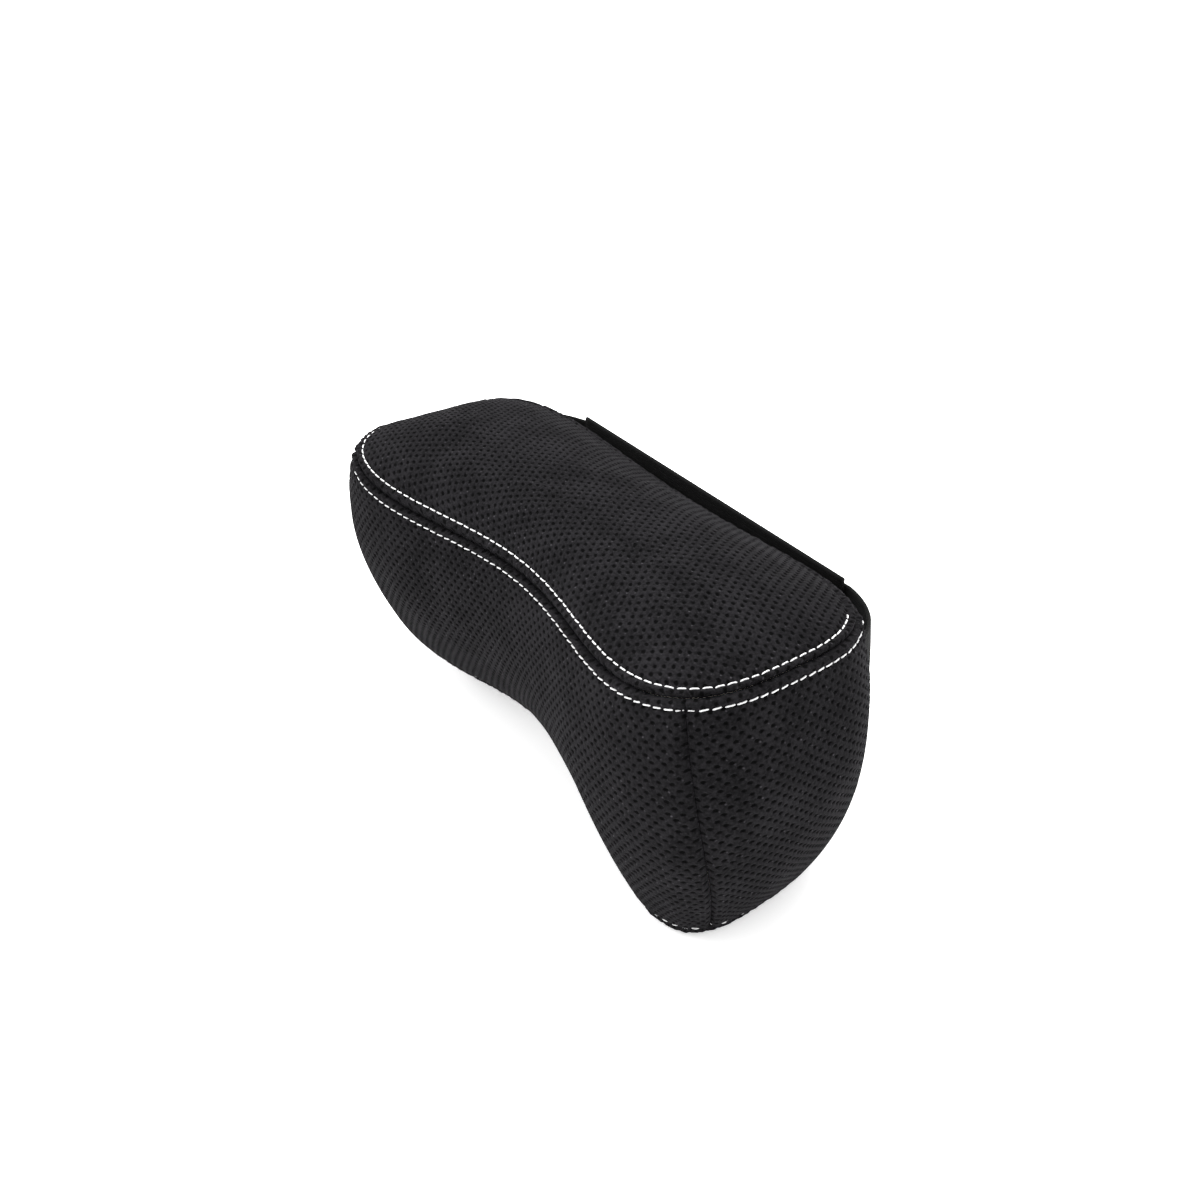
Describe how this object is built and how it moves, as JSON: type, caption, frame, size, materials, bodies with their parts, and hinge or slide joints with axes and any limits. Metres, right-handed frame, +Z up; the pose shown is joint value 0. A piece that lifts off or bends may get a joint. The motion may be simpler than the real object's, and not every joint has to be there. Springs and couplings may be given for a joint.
{
  "type": "chair headrest pillow",
  "caption": "Strap-on neck pillow for a chair: bone-shaped padded body in black spacer mesh with white topstitching, zipped back and elastic rear strap.",
  "frame": {"origin": "centre of the bounding box at floor level, where the pillow's underside rests", "axes": "+X along the pillow, -Y towards the user's neck, +Y towards the chair, +Z up"},
  "size_m": [0.2862, 0.1277, 0.1431],
  "materials": {
    "spacer_mesh": "black polyester spacer mesh, open staggered holes, matt",
    "foam": "open-cell memory foam",
    "thread": "white polyester topstitch thread",
    "elastic": "black woven elastic, fine ribs, matt",
    "zip_tape": "black woven zip tape",
    "zip_coil": "black nylon coil",
    "zip_metal": "black painted zinc, semi gloss"
  },
  "bodies": {
    "pillow": {"cover_top_panel": "spacer_mesh", "cover_front_band": "spacer_mesh", "cover_end_panel_right": "spacer_mesh", "cover_end_panel_left": "spacer_mesh", "cover_back_upper": "spacer_mesh", "cover_back_lower": "spacer_mesh", "cover_bottom_panel": "spacer_mesh", "foam_core": "foam", "topstitch_top_upper": "thread", "topstitch_top_lower": "thread", "topstitch_bottom": "thread", "bartack_right": "thread", "bartack_left": "thread", "elastic_strap": "elastic", "strap_tab_right": "elastic", "strap_tab_left": "elastic", "zip_tape_upper": "zip_tape", "zip_tape_lower": "zip_tape", "zip_coil_upper": "zip_coil", "zip_coil_lower": "zip_coil", "zip_top_stop_upper": "zip_metal", "zip_top_stop_lower": "zip_metal", "zip_bottom_stop": "zip_metal"},
    "slider": {"zip_slider": "zip_metal", "zip_slider_bridge": "zip_metal"},
    "pull": {"zip_pull": "zip_metal"}
  },
  "joints": [
    {"name": "zip_travel", "type": "slide", "parent": "pillow", "child": "slider", "axis": [1, 0, 0], "range_m": [-0.165, 0]},
    {"name": "pull_swing", "type": "hinge", "parent": "slider", "child": "pull", "pos_m": [0.0835, 0.05173, 0.04528], "axis": [0, -0.2079, -0.9781], "range_deg": [0, 170]}
  ]
}
